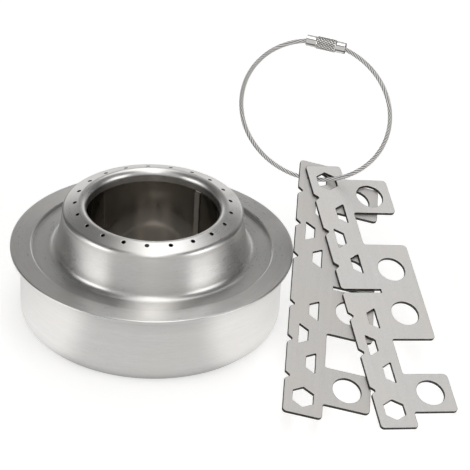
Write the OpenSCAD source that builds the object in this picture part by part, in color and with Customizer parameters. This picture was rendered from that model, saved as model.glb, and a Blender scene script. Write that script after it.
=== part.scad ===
// Alcohol spirit burner with a two-plate cross stand and its wire keeper.
// Origin: centre of the burner's base. +Z up. Millimetres.

/* [Burner] */
// Outer radius of the rolled flange
flange_r = 47.5; // [46.8:0.1:48]
// Height of the flange's top face above the base
flange_z = 26.6; // [26.4:0.1:27]
// Outer radius of the base cup
cup_r = 44.1; // [43.8:0.1:44.2]
// Radius of the cup's bottom corner
cup_corner = 4.7; // [3:0.1:6]
// Sheet thickness of the pressings
sheet = 0.4; // [0.35:0.01:0.42]
// Inner radius of the bowl's collar
bowl_r = 22.2; // [22.1:0.1:22.3]
// Height of the bowl's lip above the base
lip_z = 42.15; // [42.05:0.05:42.3]
// Radius of the rolled lip around the bowl
lip_r = 2.2; // [2:0.1:2.4]
// Number of flame jets
jets = 21; // [12:1:26]
// Radius of the circle the jets stand on
jet_circle_r = 26.05; // [25.6:0.05:26.6]
// Diameter of one jet
jet_d = 1.4; // [1:0.1:1.7]
// Angle of the first jet
jet_start = 149.2; // [0:0.1:360]
// Number of fuel notches at the foot of the inner wall
feeds = 6; // [3:1:8]
// Radius of the ring pressed into the floor
floor_ring_r = 12; // [9:0.5:14]

/* [Stand plates] */
// Thickness of a plate
plate_t = 1; // [0.8:0.05:1.05]
// Half length of the spine
spine_half = 55; // [54:0.5:57]
// Width of the spine
spine_w = 13; // [12.5:0.1:13.5]
// Width over a tab
tab_w = 28.6; // [27.5:0.1:30]
// Outer end of an outer tab, from the plate's middle
tab_out = 49; // [48:0.5:50]
// Inner end of an outer tab, from the plate's middle
tab_in = 34; // [33.5:0.5:34.5]
// Half length of the middle tab
tab_mid = 20; // [19.5:0.1:20.8]
// Radius of the round holes
round_r = 4.8; // [4:0.1:5]
// Corner radius of the hexagon holes
hex_r = 3.95; // [3.9:0.05:4]
// Width of the cross slot
slot_w = 1.4; // [1.4:0.1:2]
// Depth of the cross slot
slot_d = 14.3; // [14.1:0.1:15]
// Depth of a pot notch
notch_d = 1.5; // [1:0.1:1.8]

/* [Stand placing] */
// Where the upper plate's keeper hole stands: x
stand_x = 58.19; // [58.1:0.01:60]
// Where the upper plate's keeper hole stands: y
stand_y = 30.84; // [30:0.01:32]
// Where the upper plate's keeper hole stands: z
stand_z = 37.02; // [37:0.01:40]
// Angle between the two plates
fan = 16.2; // [10:0.1:17]

/* [Keeper] */
// Radius of the wire loop
loop_r = 25.9; // [25.5:0.1:26.2]
// Diameter of the wire rope
rope_d = 1.5; // [1.2:0.05:1.5]
// Diameter of the plain ferrules
ferrule_d = 3.8; // [3.6:0.1:4]
// Diameter of the knurled sleeve
sleeve_d = 4.3; // [4.1:0.1:4.5]

/* [Hidden] */
$fn = 96;

// ---- outline helpers ----
// points of an arc, both ends included
function arc(centre, radius, from, to, steps) =
    [for (i = [0:steps])
        let (angle = from + (to - from) * i / steps)
        centre + radius * [cos(angle), sin(angle)]];

function unit(v) = v / norm(v);
function left(v) = [-v[1], v[0]];

// mitred left-hand normal of an open polyline at point i; the floor keeps sharp mitres short
mitre_floor = 0.4;
function mitre(line, i) =
    let (last = len(line) - 1,
         before = i > 0 ? unit(line[i] - line[i - 1]) : unit(line[1] - line[0]),
         after = i < last ? unit(line[i + 1] - line[i]) : unit(line[last] - line[last - 1]),
         mean = unit(before + after))
    left(mean) / max(mitre_floor, mean * before);

// closed strip on the left side of an open polyline
function strip(line, thickness) =
    concat(line, [for (i = [len(line) - 1:-1:0]) line[i] + thickness * mitre(line, i)]);

function reversed(list) = [for (i = [len(list) - 1:-1:0]) list[i]];

// closed outline with rounded corners, from a list of [x, y, corner radius]
function xy(corner) = [corner[0], corner[1]];
function rounded(corners) =
    [for (i = [0:len(corners) - 1])
        let (count = len(corners),
             tip = xy(corners[i]),
             radius = corners[i][2],
             back = unit(xy(corners[(i + count - 1) % count]) - tip),
             ahead = unit(xy(corners[(i + 1) % count]) - tip),
             half = acos(back * ahead) / 2,
             centre = tip + unit(back + ahead) * radius / sin(half),
             enter = tip + back * radius / tan(half) - centre,
             leave = tip + ahead * radius / tan(half) - centre,
             from = atan2(enter[1], enter[0]),
             turn = (atan2(leave[1], leave[0]) - from + 540) % 360 - 180)
        each arc(centre, radius, from, from + turn, 6)];

// ---- top shell ----
hem_r = 0.4;            // bend radius at the flange's edge
hem_z = -0.87;          // lower bend's centre, from the flange's top face
hem_end_r = 45.2;       // where the hem ends under the flange
shoulder_wall_r = 30.3; // raised ring's radius just under its shoulder
shoulder_r = 1.85;      // bend radius of the shoulder
lip_join = 72;          // angle at which the shoulder's bend meets the lip's
collar_h = 4.1;         // from the lip down to the collar's foot
jet_drop = 0.6;         // a jet's middle below the lip
jet_l = 2.4;
jet_tilt = 18;          // the jet's top leans outwards

// bends from the flange's edge in to the raised ring:
// [centre's radius, centre's height over the flange, bend radius, from, to, steps]
flange_bends = [
    [flange_r - hem_r, hem_z, hem_r, -90, 0, 4],
    [flange_r - hem_r, -hem_r, hem_r, 0, 90, 4],
    [40.9, -0.5, 0.5, 90, 172, 5],
    [40.07, -1.05, 0.25, -8, -90, 4],
    [34.8, 1.2, 2.5, -90, -166, 8]];
// side of the raised ring: [radius, height over the flange]
ring_side = [[31.95, 2.3], [31.52, 4.05], [31.12, 5.9], [30.78, 7.8], [30.5, 9.7], [30.34, 11.2]];

// outside face, from the hem's end over the flange, up the raised ring and down the collar
function shell_line() = concat(
    [[hem_end_r, flange_z + hem_z - hem_r]],
    [for (b = flange_bends) each arc([b[0], flange_z + b[1]], b[2], b[3], b[4], b[5])],
    [for (station = ring_side) station + [0, flange_z]],
    [[shoulder_wall_r, lip_z - 3.5]],
    arc([shoulder_wall_r - shoulder_r, lip_z - 3.15], shoulder_r, 0, lip_join, 8),
    arc([bowl_r + lip_r, lip_z - lip_r], lip_r, lip_join, 180, 12),
    [[bowl_r, lip_z - collar_h]]);

module top_shell() {
    color([0.80, 0.79, 0.77])
    difference() {
        rotate_extrude() polygon(strip(shell_line(), sheet));
        for (i = [0:jets - 1])
            rotate([0, 0, jet_start + i * 360 / jets])
            translate([jet_circle_r, 0, lip_z - jet_drop])
            rotate([0, jet_tilt, 0])
                cylinder(d = jet_d, h = jet_l, center = true, $fn = 32);
    }
}

// ---- base cup ----
rim_z = flange_z - sheet - 0.03; // rim's top face, with air under the flange
rim_inset = 0.5;                 // rim's edge inside the flange's
rim_bend_r = 1;
floor_ring_h = 0.5;
floor_ring_foot = 1.4;           // half width of the pressed ring at the floor
floor_ring_crown = 0.6;          // half width of its flat top

// inside face, from the rim down the wall and along the floor
function cup_line() = concat(
    [[flange_r - rim_inset, rim_z], [cup_r + 0.8, rim_z]],
    arc([cup_r - sheet + rim_bend_r, rim_z - rim_bend_r], rim_bend_r, 90, 180, 5),
    arc([cup_r - cup_corner, cup_corner], cup_corner - sheet, 0, -90, 8),
    [[floor_ring_r + floor_ring_foot, sheet],
     [floor_ring_r + floor_ring_crown, sheet + floor_ring_h],
     [floor_ring_r - floor_ring_crown, sheet + floor_ring_h],
     [floor_ring_r - floor_ring_foot, sheet],
     [0, sheet]]);

module base_cup() {
    color([0.76, 0.75, 0.73])
    rotate_extrude()
        polygon([for (p = strip(cup_line(), sheet)) [max(0, p[0]), max(0, p[1])]]);
}

// ---- inner wall ----
wall_r = bowl_r + sheet + 0.06; // inner radius, with air round the collar
wall_z = sheet + 0.05;          // foot, with air over the floor
wall_h = lip_z - 3.2;
seam_h = lip_z - 5.3;
seam_start = 48.6;
seam_angle = 5.6;
seam_overlap = 0.1;             // how far the seam strip reaches into the wall
feed_r = 1.6;
feed_l = 3;
feed_start = 20;

module inner_wall() {
    color([0.58, 0.55, 0.51])
    difference() {
        union() {
            rotate_extrude() translate([wall_r, wall_z]) square([sheet, wall_h]);
            // the end of the rolled sheet lies over the seam, on the inside
            rotate([0, 0, seam_start])
            rotate_extrude(angle = seam_angle)
            translate([wall_r - sheet, wall_z])
                square([sheet + seam_overlap, seam_h]);
        }
        for (i = [0:feeds - 1])
            rotate([0, 0, feed_start + i * 360 / feeds])
            translate([wall_r, 0, sheet])
            rotate([0, 90, 0])
                cylinder(r = feed_r, h = feed_l, center = true, $fn = 32);
    }
}

// ---- stand plates ----
// a plate's x runs from the notched edge to the tabs, y along the spine from its middle
end_round = 1.3;    // corner radius at the spine's ends
inner_round = 0.8;  // corner radius where a tab leaves the spine
tab_round = 1.6;
mouth_round = 1.3;  // corner radius at the slot's mouth
hex_at = [6.4, 48]; // keeper hole
round_at = [[20.7, 41.5], [20.4, 9.3]];
notch_y = [10.5, 25.4, 40.5];
// half-hexagon holes: half size along x, half widths of the short and long sides
half_hex_x = 1.6;
short_half = 2.2;
long_half = 4.15;
// [x, y, half width at the side near the notched edge, half width at the other side]
half_hexes = [
    [8.2, 11.5, short_half, long_half],
    [5.2, 22.5, long_half, short_half],
    [8.2, 33.5, short_half, long_half]];

stand_rot = [20, 8.2, 18.1]; // lean of the stand against the flange
lower_off = [-2.8, 2.2];     // lower plate's keeper hole, seen from the upper one's
plate_gap = 0.06;            // air between the two plates

// the -y half of the plate's corners, from the notched edge: [x, y, corner radius]
half_outline = [
    [0, -spine_half, end_round], [spine_w, -spine_half, end_round],
    [spine_w, -tab_out, inner_round], [tab_w, -tab_out, tab_round],
    [tab_w, -tab_in, tab_round], [spine_w, -tab_in, inner_round],
    [spine_w, -tab_mid, inner_round], [tab_w, -tab_mid, tab_round]];

module half_hex(near_half, far_half) {
    polygon([[-half_hex_x, -near_half], [half_hex_x, -far_half],
             [half_hex_x, far_half], [-half_hex_x, near_half]]);
}

module pot_notch() {
    polygon([[-1, -2.4], [notch_d, -0.3], [notch_d, 0.3], [-1, 2.4]]);
}

// cross slot with rounded mouth corners, running to -x from its mouth at x = 0
module slot_2d() {
    half = slot_w / 2;
    outer = half + mouth_round;
    polygon(concat(
        [[-slot_d, -half]],
        arc([-mouth_round, -outer], mouth_round, 90, 0, 6),
        [[0.5, -outer], [0.5, outer]],
        arc([-mouth_round, outer], mouth_round, 0, -90, 6),
        [[-slot_d, half]]));
}

module plate_2d(slot_from_tabs) {
    difference() {
        polygon(rounded(concat(half_outline,
            [for (c = reversed(half_outline)) [c[0], -c[1], c[2]]])));
        for (side = [-1, 1]) {
            for (at = round_at)
                translate([at[0], side * at[1]]) circle(r = round_r, $fn = 64);
            translate([hex_at[0], side * hex_at[1]]) rotate([0, 0, 90]) circle(r = hex_r, $fn = 6);
            for (hole = half_hexes)
                translate([hole[0], side * hole[1]]) half_hex(hole[2], hole[3]);
            for (y = notch_y)
                translate([0, side * y]) pot_notch();
        }
        if (slot_from_tabs) translate([tab_w, 0]) slot_2d();
        else mirror([1, 0]) slot_2d();
    }
}

// a plate standing on z = 0, with its keeper hole at the origin
module plate(slot_from_tabs) {
    translate([-hex_at[0], -hex_at[1], 0]) linear_extrude(plate_t) plate_2d(slot_from_tabs);
}

// frame of the stand: the middle of the upper plate's keeper hole, on its top face
module in_stand() {
    translate([stand_x, stand_y, stand_z]) rotate(stand_rot) children();
}

module stand_plate_upper() {
    color([0.72, 0.71, 0.69])
    in_stand() translate([0, 0, -plate_t]) plate(slot_from_tabs = false);
}

module stand_plate_lower() {
    color([0.66, 0.65, 0.63])
    in_stand()
    translate([lower_off[0], lower_off[1], -2 * plate_t - plate_gap])
    rotate([0, 0, -fan])
        plate(slot_from_tabs = true);
}

// ---- keeper ----
loop_rot = [73, -26.2, -23.9]; // loop's lean, in the upper plate's frame
loop_off = [0.2, 0.4];         // rope's crossing, from midway between the keeper holes
clasp_turn = -14;              // how far round the loop the clasp lies from straight opposite
enter_x = 5.3;                 // where the rope's arc crosses the clasp's axis
clasp_y = sqrt(loop_r * loop_r - enter_x * enter_x);
rope_end_x = 4;                // rope's ends, either side of the clasp's middle
bore_end_x = 3.9;              // ends of the rope's bore in the ferrules
bore_air = 0.06;               // added to the bore's diameter
// places along the clasp's axis, and radii
ferrule_end = 6.7;
ferrule_air = 0.04;            // between a ferrule and the sleeve
sleeve_from = -3.3;
sleeve_to = 3.5;
cut_over = 0.1;                // parts and bores pass the sleeve's ends by this much
thread_r = 1.3;
neck_r = 0.95;
neck_from = 2.8;
head_r = 1.5;

// frame of the loop: x along the rope where it crosses the plates, y towards the loop's middle
module in_loop() {
    in_stand()
    translate(concat(lower_off / 2 + loop_off, [-plate_t - plate_gap / 2]))
    rotate(loop_rot)
        children();
}

// the loop's frame turned about its middle, with the clasp on its y axis
module in_turn() {
    in_loop()
    translate([0, loop_r, 0])
    rotate([0, 0, clasp_turn])
    translate([0, -loop_r, 0])
        children();
}

// frame of the clasp: x along its axis
module in_clasp() {
    in_turn() translate([0, loop_r + clasp_y, 0]) children();
}

module rod(from, to, radius) {
    translate([from, 0, 0]) rotate([0, 90, 0]) cylinder(r = radius, h = to - from, $fn = 64);
}

// the rope's arc, from one ferrule round to the other, ending at x = -end_x and end_x
module rope_arc(diameter, end_x) {
    gap = asin(end_x / loop_r);
    in_turn()
    translate([0, loop_r, 0])
    rotate([0, 0, 90 + gap])
    rotate_extrude(angle = 360 - 2 * gap)
    translate([loop_r, 0])
        circle(d = diameter, $fn = 48);
}

// a clasp part with the rope's bore cut out
module bored() {
    difference() {
        in_clasp() union() children();
        rope_arc(rope_d + bore_air, bore_end_x);
    }
}

module wire_rope() {
    color([0.70, 0.70, 0.70])
    rope_arc(rope_d, rope_end_x);
}

module threaded_end() {
    color([0.82, 0.82, 0.82])
    bored() {
        rod(-ferrule_end, sleeve_from - ferrule_air, ferrule_d / 2);
        rod(sleeve_from - cut_over, -0.2, thread_r);
    }
}

module swivel_end() {
    color([0.82, 0.82, 0.82])
    bored() {
        rod(sleeve_to + ferrule_air, ferrule_end, ferrule_d / 2);
        rod(neck_from, sleeve_to + cut_over, neck_r);
        rod(1.4, 2.86, head_r);
    }
}

module knurled_sleeve() {
    color([0.86, 0.86, 0.86])
    in_clasp() difference() {
        rod(sleeve_from, sleeve_to, sleeve_d / 2);
        rod(sleeve_from - cut_over, 0.3, thread_r + 0.04);
        rod(0.2, 2.9, head_r + 0.06);
        rod(neck_from, sleeve_to + cut_over, neck_r + 0.05);
    }
}

base_cup();
top_shell();
inner_wall();
stand_plate_lower();
stand_plate_upper();
wire_rope();
threaded_end();
swivel_end();
knurled_sleeve();
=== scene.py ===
import math

import bmesh
import bpy
import numpy as np
from mathutils import Matrix, Vector
from mathutils.geometry import delaunay_2d_cdt


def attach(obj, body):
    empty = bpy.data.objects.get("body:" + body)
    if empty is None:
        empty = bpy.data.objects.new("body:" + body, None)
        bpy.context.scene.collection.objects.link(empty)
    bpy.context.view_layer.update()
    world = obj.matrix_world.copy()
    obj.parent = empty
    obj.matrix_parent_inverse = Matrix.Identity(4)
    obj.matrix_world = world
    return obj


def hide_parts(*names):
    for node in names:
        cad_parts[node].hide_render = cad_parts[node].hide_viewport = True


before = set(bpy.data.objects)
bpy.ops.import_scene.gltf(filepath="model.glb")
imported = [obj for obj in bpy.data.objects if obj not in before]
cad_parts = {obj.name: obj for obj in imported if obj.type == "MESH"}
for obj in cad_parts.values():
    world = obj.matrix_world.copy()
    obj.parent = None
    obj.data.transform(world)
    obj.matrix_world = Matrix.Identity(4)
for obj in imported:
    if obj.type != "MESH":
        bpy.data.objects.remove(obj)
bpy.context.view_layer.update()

MM = 0.001
scene = bpy.context.scene

# ------------------------------------------------------------------ dimensions (mm), as in the CAD
FR, FZ = 47.5, 26.6            # flange radius and height
CR, CC = 44.1, 4.7             # cup radius and bottom corner
SH = 0.4                       # sheet
BR, LZ = 22.2, 42.15           # bowl collar radius and lip height
LIP = 2.2                      # radius of the rolled lip
JETS, JR, JD, J0 = 21, 26.05, 1.4, 149.2
FLOOR_R = 12.0
T, SPH, SPW, TW = 1.0, 55.0, 13.0, 28.6
TO, TI, TM = 49.0, 34.0, 20.0
SLW, SLD, ND = 1.4, 14.3, 1.5
RH, HEX = 4.8, 3.95
HAT = (6.4, 48.0)
STAND = (58.19, 30.84, 37.02)
STAND_ROT = (20.0, 8.2, 18.1)
LOWER = (-2.8, 2.2)
GAP, FAN = 0.06, 16.2
LOOP_R, ROPE_D = 25.9, 1.5
LOOP_ROT = (73.0, -26.2, -23.9)
LOOP_OFF = (0.2, 0.4)
CLASP_TURN = -14.0
CLASP_Y = math.sqrt(LOOP_R ** 2 - 5.3 ** 2)


def rot(x=0.0, y=0.0, z=0.0):
    return np.array((Matrix.Rotation(math.radians(z), 3, "Z") @ Matrix.Rotation(math.radians(y), 3, "Y")
                     @ Matrix.Rotation(math.radians(x), 3, "X")))


def place(r, t):
    """4x4 of rotation r and shift t."""
    m = np.eye(4)
    m[:3, :3], m[:3, 3] = r, t
    return m


IN_STAND = place(rot(*STAND_ROT), STAND)
UPPER_M = IN_STAND @ place(np.eye(3), (-HAT[0], -HAT[1], -T))
LOWER_M = IN_STAND @ place(rot(z=-FAN), (LOWER[0], LOWER[1], -2 * T - GAP)) @ place(np.eye(3), (-HAT[0], -HAT[1], 0))
LOOP_M = IN_STAND @ place(rot(*LOOP_ROT), (LOWER[0] / 2 + LOOP_OFF[0], LOWER[1] / 2 + LOOP_OFF[1], -T - GAP / 2))
TURN_M = LOOP_M @ place(np.eye(3), (0, LOOP_R, 0)) @ place(rot(z=CLASP_TURN), (0, 0, 0)) @ place(np.eye(3), (0, -LOOP_R, 0))
CLASP_M = TURN_M @ place(np.eye(3), (0, LOOP_R + CLASP_Y, 0))


# ------------------------------------------------------------------ mesh helpers
def make(name, verts, faces, mats, matrix=None, loc=None, mat_index=None, angle=32.0, flat=None):
    """A mesh object from points in mm. loc is kept as an attribute the materials read."""
    v = np.asarray(verts, float)
    local = v if loc is None else np.asarray(loc, float)
    if matrix is not None:
        v = v @ np.asarray(matrix)[:3, :3].T + np.asarray(matrix)[:3, 3]
    me = bpy.data.meshes.new(name)
    me.from_pydata((v * MM).tolist(), [], [tuple(int(i) for i in f) for f in faces])
    a = me.attributes.new("loc", "FLOAT_VECTOR", "POINT")
    a.data.foreach_set("vector", local.astype(np.float32).ravel())
    for m in mats:
        me.materials.append(m)
    if mat_index is not None:
        me.polygons.foreach_set("material_index", np.asarray(mat_index, np.int32))
    me.polygons.foreach_set("use_smooth", np.ones(len(me.polygons), bool) if flat is None else ~np.asarray(flat, bool))
    bm = bmesh.new()
    bm.from_mesh(me)
    bmesh.ops.remove_doubles(bm, verts=bm.verts, dist=2e-7)
    bmesh.ops.recalc_face_normals(bm, faces=bm.faces)
    lim = math.radians(angle)
    for e in bm.edges:
        f = e.link_faces
        if len(f) == 2 and (f[0].smooth != f[1].smooth or e.calc_face_angle(0.0) > lim):
            e.smooth = False
    bm.to_mesh(me)
    bm.free()
    ob = bpy.data.objects.new(name, me)
    scene.collection.objects.link(ob)
    return ob


def arc(cx, cz, r, a, b, n):
    t = np.radians(np.linspace(a, b, n + 1))
    return np.stack([cx + r * np.cos(t), cz + r * np.sin(t)], 1)


def line(a, b, n):
    return np.linspace(a, b, n + 1)


def spline(p, k):
    """Smooth curve through the points p, k steps between neighbours (centripetal Catmull-Rom)."""
    p = np.asarray(p, float)
    q = np.vstack([2 * p[0] - p[1], p, 2 * p[-1] - p[-2]])
    out = []
    for i in range(1, len(q) - 2):
        p0, p1, p2, p3 = q[i - 1:i + 3]
        t0 = 0.0
        t1 = t0 + np.linalg.norm(p1 - p0) ** 0.5
        t2 = t1 + np.linalg.norm(p2 - p1) ** 0.5
        t3 = t2 + np.linalg.norm(p3 - p2) ** 0.5
        for t in np.linspace(t1, t2, k, endpoint=False):
            a1 = (t1 - t) / (t1 - t0) * p0 + (t - t0) / (t1 - t0) * p1
            a2 = (t2 - t) / (t2 - t1) * p1 + (t - t1) / (t2 - t1) * p2
            a3 = (t3 - t) / (t3 - t2) * p2 + (t - t2) / (t3 - t2) * p3
            b1 = (t2 - t) / (t2 - t0) * a1 + (t - t0) / (t2 - t0) * a2
            b2 = (t3 - t) / (t3 - t1) * a2 + (t - t1) / (t3 - t1) * a3
            out.append((t2 - t) / (t2 - t1) * b1 + (t - t1) / (t2 - t1) * b2)
    out.append(p[-1])
    return np.array(out)


def chain(*parts):
    """Joins polylines, dropping repeated points."""
    pts = np.vstack([np.atleast_2d(np.asarray(p, float)) for p in parts])
    keep = [0]
    for i in range(1, len(pts)):
        if np.linalg.norm(pts[i] - pts[keep[-1]]) > 0.004:
            keep.append(i)
    return pts[keep]


def left_offset(p, t):
    """Each point moved t to the left of the line's direction, mitred."""
    d = np.diff(p, axis=0)
    d /= np.linalg.norm(d, axis=1)[:, None]
    a = np.vstack([d[:1], d])
    b = np.vstack([d, d[-1:]])
    m = a + b
    m /= np.linalg.norm(m, axis=1)[:, None]
    n = np.stack([-m[:, 1], m[:, 0]], 1)
    return p + n * (t / np.maximum(0.4, (m * a).sum(1)))[:, None]


def lathe_grid(profile, n):
    """Rows of n points for a closed profile of (r, z)."""
    th = 2 * np.pi * np.arange(n) / n
    r, z = profile[:, 0], profile[:, 1]
    return np.stack([r[:, None] * np.cos(th), r[:, None] * np.sin(th), np.repeat(z[:, None], n, 1)], 2)


def ring_faces(m, n, closed=True, skip=None):
    f = []
    for i in range(m if closed else m - 1):
        j = (i + 1) % m
        for k in range(n):
            l = (k + 1) % n
            if skip is not None and skip(i, k):
                continue
            f.append((i * n + k, i * n + l, j * n + l, j * n + k))
    return f


# ------------------------------------------------------------------ node helper
class Nodes:
    def __init__(self, tree):
        self.t = tree
        tree.nodes.clear()

    def new(self, kind, **props):
        n = self.t.nodes.new(kind)
        for k, v in props.items():
            setattr(n, k, v)
        return n

    def put(self, socket, v):
        if isinstance(v, bpy.types.NodeSocket):
            self.t.links.new(v, socket)
        elif v is not None:
            socket.default_value = v

    def m(self, op, a, b=None, c=None, clamp=False):
        n = self.new("ShaderNodeMath", operation=op, use_clamp=clamp)
        for s, v in zip(n.inputs, (a, b, c)):
            self.put(s, v)
        return n.outputs[0]

    def vm(self, op, a, b=None, scale=None):
        n = self.new("ShaderNodeVectorMath", operation=op)
        self.put(n.inputs[0], a)
        self.put(n.inputs[1], b)
        if scale is not None:
            self.put(n.inputs["Scale"], scale)
        return n.outputs["Value"] if op in ("DOT_PRODUCT", "LENGTH") else n.outputs[0]

    def sep(self, v):
        n = self.new("ShaderNodeSeparateXYZ")
        self.put(n.inputs[0], v)
        return n.outputs

    def comb(self, x, y, z):
        n = self.new("ShaderNodeCombineXYZ")
        for s, v in zip(n.inputs, (x, y, z)):
            self.put(s, v)
        return n.outputs[0]

    def ramp(self, v, a, b, lo=0.0, hi=1.0, smooth=True):
        n = self.new("ShaderNodeMapRange", interpolation_type="SMOOTHSTEP" if smooth else "LINEAR")
        for s, x in zip(n.inputs, (v, a, b, lo, hi)):
            self.put(s, x)
        return n.outputs[0]

    def mix(self, f, a, b):
        """a where f is 0, b where f is 1, for numbers."""
        n = self.new("ShaderNodeMix", data_type="FLOAT")
        self.put(n.inputs[0], f)
        self.put(n.inputs[2], a)
        self.put(n.inputs[3], b)
        return n.outputs[0]

    def cmix(self, f, a, b, blend="MIX"):
        n = self.new("ShaderNodeMix", data_type="RGBA", blend_type=blend)
        self.put(n.inputs[0], f)
        self.put(n.inputs[6], a)
        self.put(n.inputs[7], b)
        return n.outputs[2]

    def noise(self, vec, scale, detail=2.0, rough=0.5, w=None, dist=0.0):
        n = self.new("ShaderNodeTexNoise", noise_dimensions="3D" if w is None else "4D")
        self.put(n.inputs["Vector"], vec)
        if w is not None:
            self.put(n.inputs["W"], w)
        n.inputs["Scale"].default_value = scale
        n.inputs["Detail"].default_value = detail
        n.inputs["Roughness"].default_value = rough
        n.inputs["Distortion"].default_value = dist
        return n.outputs["Fac"]


def steel(name, color, rough, grain="spin", grain_amp=0.05, bump=0.0, tint=0.03, scratch=0.0, spots=0.0,
          metallic=1.0, aniso=0.0, groove_shade_and_grease=None, grain_mm=0.16, outline_shade=0.0, mid=0.05, painted_corner_shade=0.0, painted_reflection_bands=None):
    """Bare metal: fine grain along the way it was worked, cloudy tone, a few hairline scratches and stains."""
    mat = bpy.data.materials.new(name)
    mat.use_nodes = True
    N = Nodes(mat.node_tree)
    out = N.new("ShaderNodeOutputMaterial")
    b = N.new("ShaderNodeBsdfPrincipled")
    N.t.links.new(b.outputs[0], out.inputs[0])
    at = N.new("ShaderNodeAttribute", attribute_type="GEOMETRY", attribute_name="loc").outputs["Vector"]
    x, y, z = N.sep(at)[0:3]
    if grain == "spin":  # lines run round the axis
        r = N.m("SQRT", N.m("ADD", N.m("MULTIPLY", x, x), N.m("MULTIPLY", y, y)))
        inv = N.m("DIVIDE", 1.0, N.m("MAXIMUM", r, 0.01))
        vec = N.comb(N.m("MULTIPLY", N.m("MULTIPLY", x, inv), 5.0), N.m("MULTIPLY", N.m("MULTIPLY", y, inv), 5.0),
                     N.m("DIVIDE", r, grain_mm))
        g = N.noise(vec, 1.0, 3.0, 0.6, w=N.m("DIVIDE", z, grain_mm))
        vec2 = N.comb(N.m("MULTIPLY", N.m("MULTIPLY", x, inv), 1.6), N.m("MULTIPLY", N.m("MULTIPLY", y, inv), 1.6),
                      N.m("DIVIDE", r, 1.3))
        g2 = N.noise(vec2, 1.0, 2.0, 0.5, w=N.m("DIVIDE", z, 1.3))
        vec3 = N.comb(N.m("MULTIPLY", N.m("MULTIPLY", x, inv), 13.0), N.m("MULTIPLY", N.m("MULTIPLY", y, inv), 13.0), N.m("DIVIDE", r, 0.5))
        g3 = N.noise(vec3, 1.0, 3.0, 0.65, w=N.m("DIVIDE", z, 0.5))
    elif grain == "up":  # lines run along the axis, as on drawn walls
        r = N.m("SQRT", N.m("ADD", N.m("MULTIPLY", x, x), N.m("MULTIPLY", y, y)))
        inv = N.m("DIVIDE", 1.0, N.m("MAXIMUM", r, 0.01))
        k = 22.0 / grain_mm
        vec = N.comb(N.m("MULTIPLY", N.m("MULTIPLY", x, inv), k), N.m("MULTIPLY", N.m("MULTIPLY", y, inv), k),
                     N.m("DIVIDE", z, 9.0))
        g = N.noise(vec, 1.0, 3.0, 0.6)
        g2 = N.noise(N.vm("SCALE", at, scale=0.12), 1.0, 2.0, 0.5)
        g3 = N.noise(N.comb(N.m("DIVIDE", x, 0.5), N.m("DIVIDE", y, 0.5), N.m("DIVIDE", z, 4.0)), 1.0, 3.0, 0.6)
    elif grain == "line":  # lines run along local y
        g = N.noise(N.comb(N.m("DIVIDE", x, grain_mm), N.m("DIVIDE", y, 9.0), N.m("DIVIDE", z, grain_mm)), 1.0, 3.0, 0.6)
        g2 = N.noise(N.comb(N.m("DIVIDE", x, 1.6), N.m("DIVIDE", y, 26.0), z), 1.0, 2.0, 0.5)
        g3 = N.noise(N.comb(N.m("DIVIDE", x, 0.45), N.m("DIVIDE", y, 1.1), z), 1.0, 4.0, 0.7)
    elif grain == "across":  # lines run through the thickness, as on a cut edge
        g = N.noise(N.comb(N.m("DIVIDE", x, grain_mm), N.m("DIVIDE", y, grain_mm), N.m("DIVIDE", z, 3.0)), 1.0, 2.0, 0.6)
        g2 = N.noise(N.vm("SCALE", at, scale=0.5), 1.0, 2.0, 0.5)
        g3 = g2
    else:  # even grain
        g = N.noise(N.vm("SCALE", at, scale=1.0 / grain_mm), 1.0, 3.0, 0.6)
        g2 = N.noise(N.vm("SCALE", at, scale=0.25), 1.0, 2.0, 0.5)
        g3 = N.noise(N.vm("SCALE", at, scale=1.6), 1.0, 3.0, 0.6)
    cloud = N.noise(N.vm("SCALE", at, scale=0.045), 1.0, 3.0, 0.55)
    mott = N.noise(N.vm("SCALE", at, scale=0.6), 1.0, 4.0, 0.6)
    # colour
    lightness = N.m("ADD", 1.0, N.m("ADD", N.m("MULTIPLY", N.m("SUBTRACT", g2, 0.5), tint * 2.0),
                                    N.m("MULTIPLY", N.m("SUBTRACT", g, 0.5), tint * 2.4)))
    lightness = N.m("ADD", lightness, N.m("MULTIPLY", N.m("SUBTRACT", g3, 0.5), mid * 2.0))
    col = N.vm("SCALE", N.new("ShaderNodeRGB").outputs[0], scale=lightness)
    col.node.inputs[0].links[0].from_node.outputs[0].default_value = (*color, 1)
    warm = N.ramp(cloud, 0.42, 0.68)
    col = N.cmix(N.m("MULTIPLY", warm, 0.35), col, (color[0] * 1.02, color[1] * 0.985, color[2] * 0.94, 1))
    ro = N.m("ADD", rough, N.m("ADD", N.m("MULTIPLY", N.m("SUBTRACT", g, 0.5), grain_amp * 2.0),
                               N.m("MULTIPLY", N.m("SUBTRACT", cloud, 0.5), grain_amp * 1.6)))
    ro = N.m("ADD", ro, N.m("MULTIPLY", N.m("SUBTRACT", mott, 0.5), grain_amp * 0.8))
    ro = N.m("ADD", ro, N.m("MULTIPLY", N.m("SUBTRACT", g3, 0.5), grain_amp * 1.6))
    if spots > 0:
        vor = N.new("ShaderNodeTexVoronoi", feature="F1")
        N.put(vor.inputs["Vector"], N.vm("SCALE", at, scale=0.55))
        near = N.m("MULTIPLY", N.ramp(vor.outputs["Distance"], 0.05, 0.12, 1.0, 0.0), N.ramp(mott, 0.52, 0.62))
        col = N.cmix(N.m("MULTIPLY", near, spots), col, (color[0] * 0.45, color[1] * 0.42, color[2] * 0.40, 1))
        ro = N.m("ADD", ro, N.m("MULTIPLY", near, 0.12))
    height = g
    if scratch > 0:
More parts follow.
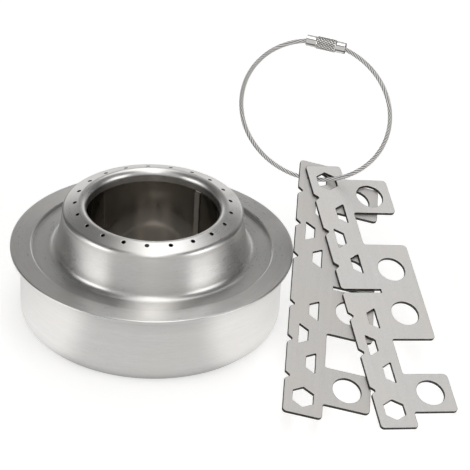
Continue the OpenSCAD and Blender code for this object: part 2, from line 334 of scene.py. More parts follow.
        # hairlines: thin bright bands of two skewed, stretched noises
        s1 = N.noise(N.comb(N.m("ADD", N.m("MULTIPLY", x, 0.9), N.m("MULTIPLY", y, 2.3)),
                            N.m("MULTIPLY", N.m("SUBTRACT", x, N.m("MULTIPLY", y, 0.4)), 0.05), N.m("MULTIPLY", z, 0.3)), 1.0, 1.0, 0.4)
        s2 = N.noise(N.comb(N.m("SUBTRACT", N.m("MULTIPLY", y, 0.7), N.m("MULTIPLY", x, 1.9)),
                            N.m("MULTIPLY", N.m("ADD", y, N.m("MULTIPLY", x, 0.3)), 0.06), N.m("MULTIPLY", z, 0.3)), 1.0, 1.0, 0.4)
        h1 = N.ramp(N.m("ABSOLUTE", N.m("SUBTRACT", s1, 0.5)), 0.0, 0.006, 1.0, 0.0)
        h2 = N.ramp(N.m("ABSOLUTE", N.m("SUBTRACT", s2, 0.5)), 0.0, 0.005, 1.0, 0.0)
        hair = N.m("MULTIPLY", N.m("MAXIMUM", h1, h2), N.ramp(mott, 0.46, 0.60))
        ro = N.m("ADD", ro, N.m("MULTIPLY", hair, 0.10 * scratch))
        height = N.m("SUBTRACT", height, N.m("MULTIPLY", hair, 1.2 * scratch))
    if groove_shade_and_grease is not None:  # attribute 0..1 kept in the mesh: 1 in the grooves, where painted shade and grease darken the colour
        d = N.new("ShaderNodeAttribute", attribute_type="GEOMETRY", attribute_name="groove").outputs["Fac"]
        col = N.cmix(N.m("MULTIPLY", d, groove_shade_and_grease), col, (color[0] * 0.22, color[1] * 0.21, color[2] * 0.20, 1))
        ro = N.m("ADD", ro, N.m("MULTIPLY", d, 0.15))
    if outline_shade > 0:  # painted shade: thin round wire and tube darken towards their outline
        lw = N.new("ShaderNodeLayerWeight")
        lw.inputs["Blend"].default_value = 0.5
        col = N.cmix(N.m("MULTIPLY", N.ramp(lw.outputs["Facing"], 0.35, 0.95), outline_shade), col, (color[0] * 0.12, color[1] * 0.12, color[2] * 0.12, 1))
    if painted_corner_shade > 0:  # painted shade: the colour is darkened where ambient occlusion finds the corners of the pressing
        ao = N.new("ShaderNodeAmbientOcclusion", samples=4)
        ao.inputs["Distance"].default_value = 7 * MM
        open_ = ao.outputs["AO"]
        col = N.cmix(N.m("MULTIPLY", N.ramp(open_, 0.25, 0.95, 1.0, 0.0, smooth=False), painted_corner_shade), col,
                     (color[0] * 0.30, color[1] * 0.30, color[2] * 0.30, 1))
    if painted_reflection_bands:  # painted reflection of dark table and ceiling strips in bright plating, darkened into the colour: (from, to, share) of the mirrored height
        mz = N.sep(N.new("ShaderNodeTexCoord").outputs["Reflection"])[2]
        for lo_, hi_, share in painted_reflection_bands:
            mid_, half = (lo_ + hi_) / 2, (hi_ - lo_) / 2
            off = N.m("ABSOLUTE", N.m("SUBTRACT", mz, mid_))
            col = N.cmix(N.m("MULTIPLY", N.ramp(off, half * 0.6, half * 1.25, 1.0, 0.0), share), col,
                         (color[0] * 0.10, color[1] * 0.10, color[2] * 0.10, 1))
    N.put(b.inputs["Base Color"], col)
    b.inputs["Metallic"].default_value = metallic
    N.put(b.inputs["Roughness"], N.m("MAXIMUM", N.m("MINIMUM", ro, 1.0), 0.03))
    if aniso:
        b.inputs["Anisotropic"].default_value = aniso
        b.inputs["Anisotropic Rotation"].default_value = 0.25
        tan = N.new("ShaderNodeTangent", direction_type="RADIAL", axis="Z")
        N.put(b.inputs["Tangent"], tan.outputs[0])
    if bump > 0:
        bp = N.new("ShaderNodeBump")
        bp.inputs["Strength"].default_value = 1.0
        bp.inputs["Distance"].default_value = bump * MM
        N.put(bp.inputs["Height"], height)
        N.put(b.inputs["Normal"], bp.outputs[0])
    return mat


PRESSED = steel("pressed_steel_satin", (0.74, 0.735, 0.725), 0.30, "spin", 0.055, 0.0014, 0.04, 0.7, 0.12, aniso=0.60, mid=0.11, painted_corner_shade=0.55)
DRAWN = steel("drawn_cup_steel", (0.78, 0.775, 0.765), 0.31, "spin", 0.055, 0.0014, 0.045, 0.6, 0.10, aniso=0.6, mid=0.09, painted_corner_shade=0.65)
# painted shade: the bowl's inside wall is coloured far darker than the pressed steel, for the shade and dark
# reflections inside the deep bowl
BOWL_SHADED = steel("bowl_steel_shaded", (0.41, 0.392, 0.368), 0.115, "up", 0.025, 0.0002, 0.05, 0.2, 0.2, mid=0.10)
# painted highlight: the lapped strip of the same inside sheet is coloured much lighter, for the light its lapped edge
# catches
SEAM_LIT = steel("bowl_seam_painted_highlight", (0.74, 0.71, 0.67), 0.42, "up", 0.06, 0.0010, 0.06, 0.3, 0.25)
FLOORM = steel("bowl_floor_steel", (1.0, 0.96, 0.91), 0.19, "spin", 0.04, 0.0008, 0.04, 0.4, 0.35, metallic=0.55, mid=0.12)
# painted shade: the bore walls of the jets are coloured near black, for the shade inside the holes
CUTJ_SHADED = steel("jet_bore_shaded_steel", (0.14, 0.13, 0.12), 0.45, "even", 0.05, 0.001, 0.06)
# The two plates are the same steel; the lower plate's copy is coloured darker as painted shade.
PLATE_U = steel("plate_steel_upper", (0.93, 0.92, 0.906), 0.58, "line", 0.06, 0.0022, 0.035, 0.7, 0.14, grain_mm=0.22, mid=0.10)
PLATE_L_SHADED = steel("plate_steel_lower_shaded", (0.83, 0.814, 0.798), 0.58, "line", 0.06, 0.0022, 0.035, 0.7, 0.14, grain_mm=0.22, mid=0.10)
# the cut edge's grain across the thickness is its own; its near-black colour is painted shade for the edges turned away
# from the light
EDGE_SHADED = steel("plate_cut_edge_shaded", (0.055, 0.052, 0.048), 0.50, "across", 0.08, 0.006, 0.16, grain_mm=0.18, mid=0.1)
ROPE = steel("rope_wire", (1.0, 0.995, 0.99), 0.40, "even", 0.05, 0.0010, 0.03, groove_shade_and_grease=1.0, grain_mm=0.10, outline_shade=0.10, metallic=0.72)
CLASP = steel("clasp_nickel", (0.92, 0.915, 0.905), 0.08, "even", 0.03, 0.0006, 0.01, 0.3, 0.05, grain_mm=0.12, outline_shade=0.6,
              painted_reflection_bands=((-0.86, -0.48, 0.85), (0.74, 0.93, 0.8)))
KNURL = steel("clasp_knurled_nickel", (0.92, 0.915, 0.905), 0.14, "even", 0.04, 0.0006, 0.02, groove_shade_and_grease=1.0, grain_mm=0.12, outline_shade=0.2)


# ------------------------------------------------------------------ burner
COLS = JETS * 16


def shell_profile():
    hem = chain(line((45.2, FZ - 1.27), (46.7, FZ - 1.27), 3), arc(FR - 0.4, FZ - 0.87, 0.4, -90, 0, 8),
                arc(FR - 0.4, FZ - 0.4, 0.4, 0, 90, 8))
    top = chain(line((46.6, FZ), (41.3, FZ), 6), arc(40.9, FZ - 0.5, 0.5, 90, 172, 10),
                arc(40.07, FZ - 1.05, 0.25, -8, -90, 8))
    foot = chain(line((39.6, FZ - 1.3), (35.4, FZ - 1.3), 6), arc(34.8, FZ + 1.2, 2.5, -90, -162, 20))
    flare = spline([(32.37, FZ + 0.6), (31.95, FZ + 2.3), (31.52, FZ + 4.05), (31.12, FZ + 5.9), (30.78, FZ + 7.8),
                    (30.5, FZ + 9.7), (30.34, FZ + 11.2), (30.3, LZ - 3.5)], 5)
    shoulder = arc(28.45, LZ - 3.15, 1.85, 0, 72, 14)
    a = np.array(shoulder[-1])
    lip = arc(BR + LIP, LZ - LIP, LIP, 72, 180, 22)
    b = np.array(lip[0])
    rr = JR + np.linspace(0.95, -0.95, 7)
    rows = np.stack([rr, a[1] + (b[1] - a[1]) * (a[0] - rr) / (a[0] - b[0])], 1)
    collar = line((BR, LZ - 2.6), (BR, LZ - 4.1), 3)
    outer = chain(hem, top, foot, flare, shoulder, rows, lip, collar)
    inner = left_offset(outer, SH)
    first = [i for i in range(len(outer)) if abs(outer[i, 0] - rr[0]) < 1e-6 and outer[i, 1] > FZ + 12][0]
    return outer, inner, first


def top_shell():
    outer, inner, first = shell_profile()
    m = len(outer)
    prof = np.vstack([outer, inner[::-1]])
    g = lathe_grid(prof, COLS)
    verts = g.reshape(-1, 3).tolist()
    turn = math.radians(J0)
    c, s = math.cos(turn), math.sin(turn)
    faces, mi = [], []
    # jets sit between columns 5..11 of each sector of 16, rows first..first+6
    o_rows = list(range(first, first + 7))
    i_rows = [2 * m - 1 - i for i in o_rows]

    def skip(i, k):
        kk = (k + 8) % 16          # the jet's middle is at column 0 of the sector
        inside = 5 <= kk < 11
        return inside and (i in o_rows[:-1] or i in [x for x in i_rows[1:]])

    for f in ring_faces(2 * m, COLS, True, skip):
        faces.append(f)
        mi.append(0)
    # each jet: square ring to a round edge, down the hole, and out below
    slope = math.atan2(outer[first, 1] - outer[first + 6, 1], outer[first, 0] - outer[first + 6, 0])
    for j in range(JETS):
        k0 = j * 16
        th = 2 * np.pi * k0 / COLS
        er = np.array([math.cos(th), math.sin(th), 0.0])
        et = np.array([-math.sin(th), math.cos(th), 0.0])
        ez = np.array([0, 0, 1.0])
        out_dir = er * math.cos(slope) + ez * math.sin(slope)   # along the cone, outwards
        up = -er * math.sin(slope) + ez * math.cos(slope)
        mid = er * outer[first + 3, 0] + ez * outer[first + 3, 1]
        cols = [(k0 + d) % COLS for d in range(-3, 4)]

        def border(rows):
            idx = [(rows[0], c_) for c_ in cols[:-1]] + [(r_, cols[-1]) for r_ in rows[:-1]] \
                + [(rows[-1], c_) for c_ in cols[:0:-1]] + [(r_, cols[0]) for r_ in rows[:0:-1]]
            return [r_ * COLS + c_ for r_, c_ in idx]

        bo, bi = border(o_rows), border(i_rows)
        ang = [math.radians(-45 + 15 * q) for q in range(24)]
        loops = [bo]
        for rad, dep in ((0.90, 0.0), (JD / 2 + 0.07, 0.0), (JD / 2 + 0.02, 0.02), (JD / 2, 0.07), (JD / 2, SH - 0.05), (JD / 2 + 0.04, SH), (0.88, SH)):
            base = len(verts)
            for a_ in ang:
                verts.append((mid + rad * (math.cos(a_) * out_dir + math.sin(a_) * et) - dep * up).tolist())
            loops.append([base + q for q in range(len(ang))])
        loops.append(bi)
        for q, (l0, l1) in enumerate(zip(loops[:-1], loops[1:])):
            for e in range(len(l0)):
                h = (e + 1) % len(l0)
                faces.append((l0[e], l0[h], l1[h], l1[e]))
                mi.append(1 if 3 <= q <= 5 else 0)
    v = np.array(verts)
    v = np.stack([v[:, 0] * c - v[:, 1] * s, v[:, 0] * s + v[:, 1] * c, v[:, 2]], 1)
    return make("burner_top_shell", v, faces, [PRESSED, CUTJ_SHADED], mat_index=mi, angle=40)


def poled(profile, n, name, mats, split=None, angle=35.0):
    """A lathe of a closed profile whose first and last points stand on the axis."""
    p = np.asarray(profile, float)
    mid = p[1:-1]
    g = lathe_grid(mid, n).reshape(-1, 3).tolist()
    f = ring_faces(len(mid), n, closed=False)
    a, b = len(g), len(g) + 1
    g += [[0, 0, p[0, 1]], [0, 0, p[-1, 1]]]
    last = (len(mid) - 1) * n
    for k in range(n):
        l = (k + 1) % n
        f.append((a, l, k))
        f.append((b, last + k, last + l))
    mi = None
    if split is not None:
        rows = len(mid) - 1
        mi = [1 if split(i // n) else 0 for i in range(rows * n)] + [0, 1] * n
    return make(name, g, f, mats, mat_index=mi, angle=angle)


def base_cup():
    inner = chain(line((FR - 0.5, FZ - 0.43), (CR + 0.9, FZ - 0.43), 3), arc(CR + 0.6, FZ - 1.43, 1, 90, 180, 8),
                  line((CR - SH, FZ - 1.9), (CR - SH, CC + 0.2), 10), arc(CR - CC, CC, CC - SH, 0, -90, 16),
                  line((CR - CC - 0.6, SH), (FLOOR_R + 2.4, SH), 8),
                  spline([(FLOOR_R + 1.5, SH), (FLOOR_R + 1.15, SH + 0.1), (FLOOR_R + 0.6, SH + 0.47), (FLOOR_R, SH + 0.56),
                          (FLOOR_R - 0.6, SH + 0.47), (FLOOR_R - 1.15, SH + 0.1), (FLOOR_R - 1.5, SH)], 3),
                  line((FLOOR_R - 2.2, SH), (0.3, SH), 6))
    outer = left_offset(inner, SH)
    outer[:, 1] = np.maximum(outer[:, 1], 0.0)
    prof = np.vstack([[[0, outer[-1, 1]]], outer[::-1], inner, [[0, SH]]])
    k = len(outer)
    return poled(prof, 288, "burner_base_cup", [DRAWN, FLOORM], split=lambda i: i >= k + 24)


def inner_wall():
    r0 = BR + SH + 0.06
    n = 420
    th = 2 * np.pi * np.arange(n) / n
    # two extra columns where the lapped sheet ends, so that the step is crisp
    lap = [48.6, 54.2]
    extra = np.radians([lap[0] - 0.02, lap[0] + 0.12, lap[1] - 0.12, lap[1] + 0.02])
    th = np.sort(np.concatenate([th, extra]))
    n = len(th)
    deg = np.degrees(th)
    in_lap = (deg > lap[0]) & (deg < lap[1])
    foot = np.zeros(n)
    for i in range(6):
        d = (deg - (20 + 60 * i) + 180) % 360 - 180
        w = np.abs(np.radians(d)) * r0
        foot = np.maximum(foot, np.sqrt(np.maximum(0, 1.6 ** 2 - w ** 2)) - 0.05)
    z0, z1 = SH + 0.05, SH + 0.05 + LZ - 3.2
    zl = SH + 0.05 + LZ - 5.3
    zs = np.concatenate([[0, 0.4, 0.8, 1.3, 2.0, 3.0, 5.0], np.linspace(8, zl - z0 - 0.15, 8), [zl - z0 - 0.02, zl - z0 + 0.05],
                         np.linspace(zl - z0 + 0.5, z1 - z0, 3)])
    rows = []
    for k, h in enumerate(zs):  # inside face, upwards
        share = max(0.0, 1 - h / 5.0)
        z = z0 + h + np.maximum(0, foot) * share
        r = np.where(in_lap & (z < zl), r0 - SH, r0)
        rows.append(np.stack([r * np.cos(th), r * np.sin(th), z], 1))
    for k, h in enumerate(zs[::-1]):
        share = max(0.0, 1 - h / 5.0)
        z = z0 + h + np.maximum(0, foot) * share
        r = np.full(n, r0 + SH)
        rows.append(np.stack([r * np.cos(th), r * np.sin(th), z], 1))
    v = np.array(rows).reshape(-1, 3)
    faces = ring_faces(len(rows), n)
    inner_rows = int(sum(z0 + h < zl - 0.03 for h in zs))
    mi = [1 if (f[0] // n) < inner_rows and in_lap[f[0] % n] and in_lap[f[1] % n] else 0 for f in faces]
    return make("burner_inner_wall", v, faces, [BOWL_SHADED, SEAM_LIT], mat_index=mi, angle=30)


# ------------------------------------------------------------------ stand plates
def rounded(q, k=8):
    pts = []
    n = len(q)
    for i in range(n):
        p = np.array(q[i][:2], float)
        r = q[i][2]
        a = np.array(q[i - 1][:2], float) - p
        b = np.array(q[(i + 1) % n][:2], float) - p
        a /= np.linalg.norm(a)
        b /= np.linalg.norm(b)
        h = math.acos(max(-1, min(1, a @ b))) / 2
        if r <= 0 or abs(h - math.pi / 2) < 1e-3:
            pts.append(p)
            continue
        m = a + b
        m /= np.linalg.norm(m)
        c = p + m * r / math.sin(h)
        u, w = p + a * r / math.tan(h), p + b * r / math.tan(h)
        t0, t1 = math.atan2(*(u - c)[::-1]), math.atan2(*(w - c)[::-1])
        d = (t1 - t0 + 3 * math.pi) % (2 * math.pi) - math.pi
        for j in range(k + 1):
            t = t0 + d * j / k
            pts.append(c + r * np.array([math.cos(t), math.sin(t)]))
    return np.array(pts)


def signed_area(p):
    x, y = p[:, 0], p[:, 1]
    return 0.5 * float(np.sum(x * np.roll(y, -1) - np.roll(x, -1) * y))


def plate_loops(slot_from_tabs):
    w, r = SLW / 2, 1.3
    q = [(0, -SPH, 1.3), (SPW, -SPH, 1.3), (SPW, -TO, 0.8), (TW, -TO, 1.6), (TW, -TI, 1.6), (SPW, -TI, 0.8),
         (SPW, -TM, 0.8), (TW, -TM, 1.6)]
    if slot_from_tabs:
        q += [(TW, -w, r), (TW - SLD, -w, 0.12), (TW - SLD, w, 0.12), (TW, w, r)]
    q += [(TW, TM, 1.6), (SPW, TM, 0.8), (SPW, TI, 0.8), (TW, TI, 1.6), (TW, TO, 1.6), (SPW, TO, 0.8),
          (SPW, SPH, 1.3), (0, SPH, 1.3)]
    side = []
    for y in (40.5, 25.4, 10.5):
        side += [(0, y + 1.56, 0.45), (ND, y + 0.3, 0.15), (ND, y - 0.3, 0.15), (0, y - 1.56, 0.45)]
    if not slot_from_tabs:
        side += [(0, w, r), (SLD, w, 0.12), (SLD, -w, 0.12), (0, -w, r)]
    for y in (-10.5, -25.4, -40.5):
        side += [(0, y + 1.56, 0.45), (ND, y + 0.3, 0.15), (ND, y - 0.3, 0.15), (0, y - 1.56, 0.45)]
    q += side
    outer = rounded(q)
    holes = []
    t = np.radians(np.arange(72) * 5.0)
    for m in (-1, 1):
        holes.append(np.stack([20.7 + RH * np.cos(t), m * 41.5 + RH * np.sin(t)], 1))
        holes.append(np.stack([20.4 + RH * np.cos(t), m * 9.3 + RH * np.sin(t)], 1))
        hx = [(HAT[0] + HEX * math.cos(math.radians(90 + 60 * i)), m * HAT[1] + HEX * math.sin(math.radians(90 + 60 * i)), 0.22) for i in range(6)]
        holes.append(rounded(hx, 4))
        for y, x, out in ((11.5, 8.2, True), (22.5, 5.2, False), (33.5, 8.2, True)):
            a, b = (2.2, 4.15) if out else (4.15, 2.2)
            holes.append(rounded([(x - 1.6, m * y - a, 0.2), (x + 1.6, m * y - b, 0.2), (x + 1.6, m * y + b, 0.2), (x - 1.6, m * y + a, 0.2)], 4))
    loops = [outer] + holes
    for i, p in enumerate(loops):
        want = 1 if i == 0 else -1
        d = np.linalg.norm(p - np.roll(p, 1, 0), axis=1)
        p = p[d > 1e-4]
        if signed_area(p) * want < 0:
            p = p[::-1]
        # long straight runs get points too, so that no face is a sliver
        out = []
        for k in range(len(p)):
            a, b = p[k], p[(k + 1) % len(p)]
            n = max(1, int(np.linalg.norm(b - a) / 2.2))
            out += [a + (b - a) * s / n for s in range(n)]
        loops[i] = np.array(out)
    return loops


def inset(p, b):
    """Moves a closed loop b to its left, where the metal is."""
    d = np.roll(p, -1, 0) - p
    d /= np.linalg.norm(d, axis=1)[:, None]
    a = np.roll(d, 1, 0)
    m = a + d
    m /= np.linalg.norm(m, axis=1)[:, None]
    n = np.stack([-m[:, 1], m[:, 0]], 1)
    return p + n * (b / np.maximum(0.5, (m * a).sum(1)))[:, None]


def inside(pts, loop):
    x, y = pts[:, 0], pts[:, 1]
    c = np.zeros(len(pts), bool)
    j = len(loop) - 1
    for i in range(len(loop)):
        xi, yi = loop[i]
        xj, yj = loop[j]
        if yi != yj:
            hit = ((yi > y) != (yj > y)) & (x < (xj - xi) * (y - yi) / (yj - yi) + xi)
            c ^= hit
        j = i
    return c


def plate(name, slot_from_tabs, matrix, face_mat):
    loops = plate_loops(slot_from_tabs)
    b = 0.12
    levels = [(b, 0.0), (b * 0.29, b * 0.29), (0.0, b), (0.0, T - b), (b * 0.29, T - b * 0.29), (b, T)]
    verts, start = [], []
    count = sum(len(p) for p in loops)
    for ins, z in levels:
        start.append(len(verts))
        for p in loops:
            q = inset(p, ins)
            verts += [[x, y, z] for x, y in q]
    faces, mi, flat = [], [], []
    for li in range(len(levels) - 1):
        off = 0
        for p in loops:
            n = len(p)
            for k in range(n):
                l = (k + 1) % n
                faces.append((start[li] + off + k, start[li] + off + l, start[li + 1] + off + l, start[li + 1] + off + k))
                mi.append(1)
                flat.append(False)
            off += n
    # flat faces: constrained triangulation of the inset outlines with a coarse grid of inner points
    ring = np.array(verts[start[0]:start[0] + count])[:, :2]
    edges, off = [], 0
    for p in loops:
        n = len(p)
        edges += [(off + k, off + (k + 1) % n) for k in range(n)]
        off += n
    insets = [inset(p, b) for p in loops]
    gx, gy = np.meshgrid(np.arange(0.7, TW, 1.9), np.arange(-SPH + 0.8, SPH, 1.9))
    grid = np.stack([gx.ravel(), gy.ravel()], 1)
    ok = inside(grid, insets[0])
    for h in insets[1:]:
        ok &= ~inside(grid, h)
    grid = grid[ok]
    allp = np.vstack(insets)
    near = np.array([np.min(np.sum((allp - g) ** 2, 1)) for g in grid])
    grid = grid[near > 0.55 ** 2]
    pts = np.vstack([ring, grid])
    vo, eo, fo, ov, oe, of_ = delaunay_2d_cdt([Vector(p) for p in pts.tolist()], edges, [], 0, 1e-7)
    src = [o[0] for o in ov]
    vo2 = np.array([[v[0], v[1]] for v in vo])
    tri = np.array([[src[i] for i in f] for f in fo if len(f) == 3])
    cen = vo2[np.array([list(f) for f in fo if len(f) == 3])].mean(1)
    ok = inside(cen, insets[0])
    for h in insets[1:]:
        ok &= ~inside(cen, h)
    tri = tri[ok]
    g0 = len(verts)
    verts += [[x, y, 0.0] for x, y in grid]
    g1 = len(verts)
    verts += [[x, y, T] for x, y in grid]
    for t in tri:
        faces.append(tuple(start[0] + i if i < count else g0 + i - count for i in t[::-1]))
        faces.append(tuple(start[5] + i if i < count else g1 + i - count for i in t))
        mi += [0, 0]
        flat += [True, True]
    return make(name, verts, faces, [face_mat, EDGE_SHADED], matrix=matrix, loc=verts, mat_index=mi, flat=flat, angle=30)


# ------------------------------------------------------------------ keeper
def rope():
    lay, d, rho = 8.8, 0.475, 0.272
    per = 12
    phi, rad, groove = [], [], []
    for lobe in range(6):
        for k in range(per):
            u = (k / per - 0.5) * math.radians(60)
            phi.append(math.radians(60) * lobe + u)
            rr = d * math.cos(u) + math.sqrt(rho ** 2 - (d * math.sin(u)) ** 2)
            rad.append(rr)
    phi, rad = np.array(phi), np.array(rad) * (ROPE_D / 2) / (d + rho)
    t = math.degrees(math.asin(4 / LOOP_R))
    n = 620
    al = np.radians(np.linspace(90 + t, 450 - t, n + 1))
    s = LOOP_R * (al - al[0])
    psi = -2 * np.pi * s / lay
    cx, cy = LOOP_R * np.cos(al), LOOP_R + LOOP_R * np.sin(al)
    e1 = np.stack([np.cos(al), np.sin(al), 0 * al], 1)
    ang = phi[None, :] + psi[:, None]
    ca, sa = np.cos(ang), np.sin(ang)
    p = np.stack([cx, cy, 0 * al], 1)[:, None, :] + rad[None, :, None] * (ca[..., None] * e1[:, None, :] + sa[..., None] * np.array([0, 0, 1.0]))
    m = len(phi)
    verts = p.reshape(-1, 3).tolist()
    faces = ring_faces(n + 1, m, closed=False)
    a, b = len(verts), len(verts) + 1
    verts += [[cx[0], cy[0], 0], [cx[-1], cy[-1], 0]]
    for k in range(m):
        l = (k + 1) % m
        faces.append((a, l, k))
        faces.append((b, n * m + k, n * m + l))
    ob = make("keeper_wire_rope", verts, faces, [ROPE], matrix=TURN_M, loc=verts, angle=50)
    me = ob.data
    at = me.attributes.new("groove", "FLOAT", "POINT")
    g = np.zeros(len(me.vertices), np.float32)
    lo, hi = rad.min(), rad.max()
    # distance from the rope's own axis tells how deep in a groove a point lies
    inv = np.linalg.inv(TURN_M)
    co = np.zeros(len(me.vertices) * 3)
    me.vertices.foreach_get("co", co)
    co = co.reshape(-1, 3) / MM @ inv[:3, :3].T + inv[:3, 3]
    q = np.hypot(np.hypot(co[:, 0], co[:, 1] - LOOP_R) - LOOP_R, co[:, 2])
    g = np.clip((hi - 0.02 - q) / (hi - lo - 0.13), 0, 1) ** 0.6
    at.data.foreach_set("value", g.astype(np.float32))
    return ob


def rings(name, rows, mats, n=72, matrix=None, disp=None, angle=35.0, closed=False, groove=False):
    """Rings along local x: rows of (x, radius, y offset). Open stacks end in a point on the axis."""
    th = 2 * np.pi * np.arange(n) / n
    verts, gr = [], []
    for i, (x, r, y0) in enumerate(rows):
        rr = np.full(n, r, float)
        gg = np.zeros(n)
        if disp is not None:
            dd = disp(i, x, th)
            rr = rr - dd[0]
            gg = dd[1]
        verts += np.stack([np.full(n, x), y0 + rr * np.cos(th), rr * np.sin(th)], 1).tolist()
        gr += gg.tolist()
    faces = ring_faces(len(rows), n, closed=closed)
    if not closed:
        a, b = len(verts), len(verts) + 1
        verts += [[rows[0][0], rows[0][2], 0], [rows[-1][0], rows[-1][2], 0]]
        gr += [0, 0]
        last = (len(rows) - 1) * n
        for k in range(n):
            l = (k + 1) % n
            faces.append((a, l, k))
            faces.append((b, last + k, last + l))
    ob = make(name, verts, faces, mats, matrix=matrix, loc=verts, angle=angle)
    if groove:
        me = ob.data
        at = me.attributes.new("groove", "FLOAT", "POINT")
        vals = np.zeros(len(me.vertices), np.float32)
        if len(me.vertices) == len(gr):
            vals[:] = gr
        at.data.foreach_set("value", vals)
    return ob


def rope_y(x):
    return math.sqrt(LOOP_R ** 2 - x * x) - CLASP_Y


def threaded_end():
    R, rb = 1.9, ROPE_D / 2 + 0.03
    rows = [(-3.95, rb * 0.9, rope_y(3.95)), (-4.05, rb, rope_y(4.05))]
    for x in np.linspace(4.6, 6.3, 5):
        rows.append((-x, rb, rope_y(x)))
    rows += [(-6.55, rb + 0.05, rope_y(6.5)), (-6.7, rb + 0.22, rope_y(6.6)), (-6.7, R - 0.2, 0), (-6.66, R - 0.08, 0), (-6.57, R, 0)]
    rows += [(x, R, 0) for x in np.linspace(-6.3, -3.6, 6)]
    rows += [(-3.46, R, 0), (-3.38, R - 0.05, 0), (-3.34, R - 0.14, 0), (-3.34, 1.3, 0)]
    # the screw's thread, on the stud inside the sleeve
    for i, x in enumerate(np.linspace(-3.2, -0.45, 23)):
        rows.append((x, 1.3 if i % 2 == 0 else 1.19, 0))
    rows += [(-0.3, 1.16, 0), (-0.2, 1.05, 0)]
    return rings("clasp_threaded_end", rows, [CLASP], matrix=CLASP_M, angle=32)


def swivel_end():
    R, rb = 1.9, ROPE_D / 2 + 0.03
    rows = [(3.95, rb * 0.9, rope_y(3.95)), (4.05, rb, rope_y(4.05))]
    for x in np.linspace(4.6, 6.3, 5):
        rows.append((x, rb, rope_y(x)))
    rows += [(6.55, rb + 0.05, rope_y(6.5)), (6.7, rb + 0.22, rope_y(6.6)), (6.7, R - 0.2, 0), (6.66, R - 0.08, 0), (6.57, R, 0)]
    rows += [(x, R, 0) for x in np.linspace(6.3, 3.8, 6)]
    rows += [(3.66, R, 0), (3.58, R - 0.05, 0), (3.54, R - 0.14, 0), (3.54, 0.95, 0), (3.2, 0.95, 0), (2.88, 0.95, 0), (2.86, 1.0, 0),
             (2.86, 1.42, 0), (2.8, 1.5, 0), (2.2, 1.5, 0), (1.5, 1.5, 0), (1.4, 1.4, 0)]
    return rings("clasp_swivel_end", rows, [CLASP], matrix=CLASP_M, angle=32)


def knurled_sleeve():
    R = 2.15
    xs = np.linspace(-2.95, 3.15, 110)
    rows = [(-3.3, 1.34, 0), (-3.3, R - 0.28, 0), (-3.27, R - 0.16, 0), (-3.18, R - 0.08, 0), (-3.05, R - 0.07, 0)]
    k0 = len(rows)
    rows += [(x, R, 0) for x in xs]
    k1 = len(rows)
    rows += [(3.25, R - 0.07, 0), (3.38, R - 0.08, 0), (3.47, R - 0.16, 0), (3.5, R - 0.28, 0), (3.5, 1.0, 0), (2.9, 1.0, 0), (2.9, 1.56, 0),
             (0.3, 1.56, 0), (0.25, 1.34, 0)]
    pitch, around, depth = 1.15, 14, 0.17

    def disp(i, x, th):
        if not k0 <= i < k1:
            return np.zeros(len(th)), np.zeros(len(th))
        u = th * around / (2 * np.pi)
        a = np.abs(((u + x / pitch) % 1.0) - 0.5) * 2      # 0 in the middle of a diamond row, 1 at its groove
        b = np.abs(((u - x / pitch) % 1.0) - 0.5) * 2
        a, b = np.clip((a - 0.30) / 0.70, 0, 1), np.clip((b - 0.30) / 0.70, 0, 1)
        f = np.maximum(a, b)
        fade = min(1.0, (x - xs[0]) / 0.12 + 0.45, (xs[-1] - x) / 0.12 + 0.45)
        d = depth * (f ** 1.3) * fade
        return d, np.clip(f * 1.7 - 0.35, 0, 1)

    return rings("clasp_knurled_sleeve", rows, [KNURL], n=252, matrix=CLASP_M, disp=disp, angle=60, closed=True, groove=True)


# ------------------------------------------------------------------ put the pieces on their bodies
def add(ob, node, body):
    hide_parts(node)
    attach(ob, body)
    return ob


add(base_cup(), "base_cup", "burner")
add(top_shell(), "top_shell", "burner")
add(inner_wall(), "inner_wall", "burner")
add(plate("stand_lower_plate", True, LOWER_M, PLATE_L_SHADED), "stand_plate_lower", "lower_plate")
add(plate("stand_upper_plate", False, UPPER_M, PLATE_U), "stand_plate_upper", "upper_plate")
add(rope(), "wire_rope", "keeper_loop")
add(threaded_end(), "threaded_end", "keeper_loop")
add(swivel_end(), "swivel_end", "keeper_loop")
add(knurled_sleeve(), "knurled_sleeve", "clasp_sleeve")

# ------------------------------------------------------------------ floor
# The eye sees a plain pale table. The metal sees the same table with pale cards beside the burner and dark ones behind.
fm = bpy.data.materials.new("floor_pale")
fm.use_nodes = True
N = Nodes(fm.node_tree)
o = N.new("ShaderNodeOutputMaterial")
d = N.new("ShaderNodeBsdfDiffuse")
glow = N.new("ShaderNodeEmission")
both = N.new("ShaderNodeAddShader")
N.t.links.new(d.outputs[0], both.inputs[0])
N.t.links.new(glow.outputs[0], both.inputs[1])
cards = N.new("ShaderNodeEmission")
swap = N.new("ShaderNodeMixShader")
N.t.links.new(both.outputs[0], swap.inputs[1])
N.t.links.new(cards.outputs[0], swap.inputs[2])
N.t.links.new(swap.outputs[0], o.inputs[0])
tc = N.new("ShaderNodeTexCoord").outputs["Object"]
nz = N.noise(tc, 3.0, 3.0, 0.5)
path = N.new("ShaderNodeLightPath")
seen = path.outputs["Is Camera Ray"]
N.put(swap.inputs[0], path.outputs["Is Glossy Ray"])
N.put(d.inputs["Color"], N.cmix(nz, (0.79, 0.79, 0.785, 1), (0.82, 0.82, 0.815, 1)))
N.put(glow.inputs["Strength"], N.mix(seen, 0.06, 0.50))
fx, fy, fz = N.sep(tc)[0:3]
fr = N.m("SQRT", N.m("ADD", N.m("MULTIPLY", fx, fx), N.m("MULTIPLY", fy, fy)))
faz = N.m("MULTIPLY", N.m("ARCTAN2", fx, N.m("MULTIPLY", fy, -1.0)), 57.29578)
fabs = N.m("ABSOLUTE", faz)
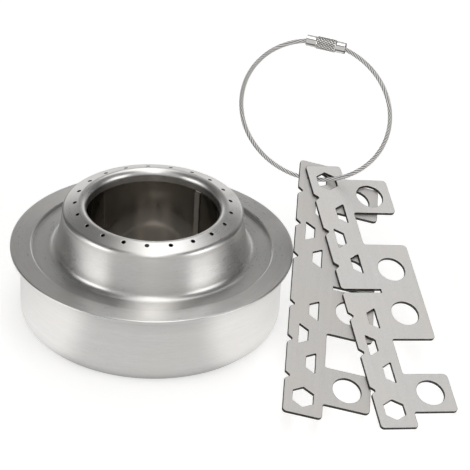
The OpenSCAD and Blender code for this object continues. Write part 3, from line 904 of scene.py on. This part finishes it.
near = N.m("ADD", N.m("ADD", 0.70, N.m("MULTIPLY", N.m("MULTIPLY", N.ramp(fabs, 30, 50), N.ramp(fabs, 62, 110, 1.0, 0.5)), 0.36)),
           N.m("MULTIPLY", N.ramp(fabs, 120, 165), 0.18))
far = N.m("ADD", N.m("ADD", 0.10, N.m("MULTIPLY", N.ramp(fabs, 36, 56, 1.0, 0.0), 0.48)),
          N.m("MULTIPLY", N.m("MULTIPLY", N.ramp(fabs, 38, 54), N.ramp(fabs, 66, 112, 1.0, 0.0)), 0.95))
far = N.m("ADD", far, N.m("MULTIPLY", N.ramp(fabs, 150, 170), 0.70))
cardl = N.mix(N.ramp(fr, 0.095, 0.135), near, far)
N.put(cards.inputs["Strength"], cardl)
cards.inputs["Color"].default_value = (1.0, 0.995, 0.985, 1)
me = bpy.data.meshes.new("floor")
ring = [(4.0 * math.cos(t), 4.0 * math.sin(t), -0.00005) for t in np.linspace(0, 2 * math.pi, 65)[:-1]]
me.from_pydata(ring, [], [list(range(64))])
me.materials.append(fm)
floor = bpy.data.objects.new("floor", me)
scene.collection.objects.link(floor)

# ------------------------------------------------------------------ studio light, all round the object
w = bpy.data.worlds.new("studio")
scene.world = w
w.use_nodes = True
N = Nodes(w.node_tree)
out = N.new("ShaderNodeOutputWorld")
bg = N.new("ShaderNodeBackground")
N.t.links.new(bg.outputs[0], out.inputs[0])
x, y, z = N.sep(N.new("ShaderNodeTexCoord").outputs["Generated"])[0:3]
az = N.m("MULTIPLY", N.m("ABSOLUTE", N.m("ARCTAN2", x, N.m("MULTIPLY", y, -1.0))), 57.29578)   # 0 on the camera's side
el = N.m("MULTIPLY", N.m("ARCSINE", z), 57.29578)
front = N.ramp(az, 34, 54, 1.0, 0.0)
side = N.m("MULTIPLY", N.m("MULTIPLY", N.ramp(az, 40, 54), N.ramp(az, 66, 100, 1.0, 0.0)), N.ramp(el, 26, 38, 1.0, 0.0))
back = N.ramp(az, 120, 142)
r = N.m("ADD", 0.11, N.m("MULTIPLY", front, 0.46))
r = N.m("ADD", r, N.m("MULTIPLY", side, 2.0))
low = N.m("MULTIPLY", N.ramp(el, 12, 27, 1.0, 0.0), N.ramp(az, 140, 158))
rear = N.m("ADD", N.ramp(el, 22, 38, 0.36, 0.18), N.m("MULTIPLY", low, 0.62))
r = N.mix(N.m("MULTIPLY", back, N.ramp(el, 38, 50, 1.0, 0.4)), r, rear)
r = N.m("ADD", r, N.m("MULTIPLY", N.m("MULTIPLY", N.ramp(x, 0.25, 0.75), N.ramp(el, 24, 40)), 0.08))   # the right side is a little lighter
# the long softbox overhead, from behind the object to over the camera
over_x = N.m("DIVIDE", x, N.m("MAXIMUM", z, 0.05))
over_y = N.m("DIVIDE", y, N.m("MAXIMUM", z, 0.05))
over = N.m("MULTIPLY", N.m("MULTIPLY", N.ramp(over_x, -0.34, 0.0), N.ramp(over_x, 0.16, 0.47, 1.0, 0.0)),
           N.m("MULTIPLY", N.ramp(over_y, 0.80, 1.30, 1.0, 0.0), N.ramp(over_y, -2.30, -1.30)))
r = N.mix(over, r, 1.75)
N.put(bg.inputs["Strength"], r)
bg.inputs["Color"].default_value = (1.0, 0.995, 0.985, 1)

# ------------------------------------------------------------------ camera, at the photograph's angle
cam_data = bpy.data.cameras.new("camera")
cam = bpy.data.objects.new("camera", cam_data)
scene.collection.objects.link(cam)
right, up, back_ = (0.99831, 0.03006, 0.04966), (-0.05805, 0.51703, 0.85400), (0.0, -0.85544, 0.51790)
cam.matrix_world = Matrix([[right[0], up[0], back_[0], 0.03078], [right[1], up[1], back_[1], -0.60423],
                           [right[2], up[2], back_[2], 0.39786], [0, 0, 0, 1]])
cam_data.lens = 161.8
cam_data.sensor_width = 36.0
cam_data.shift_x = -9.5 / 470
cam_data.clip_start, cam_data.clip_end = 0.02, 50
scene.camera = cam
scene.view_settings.view_transform = "Standard"
scene.view_settings.look = "None"
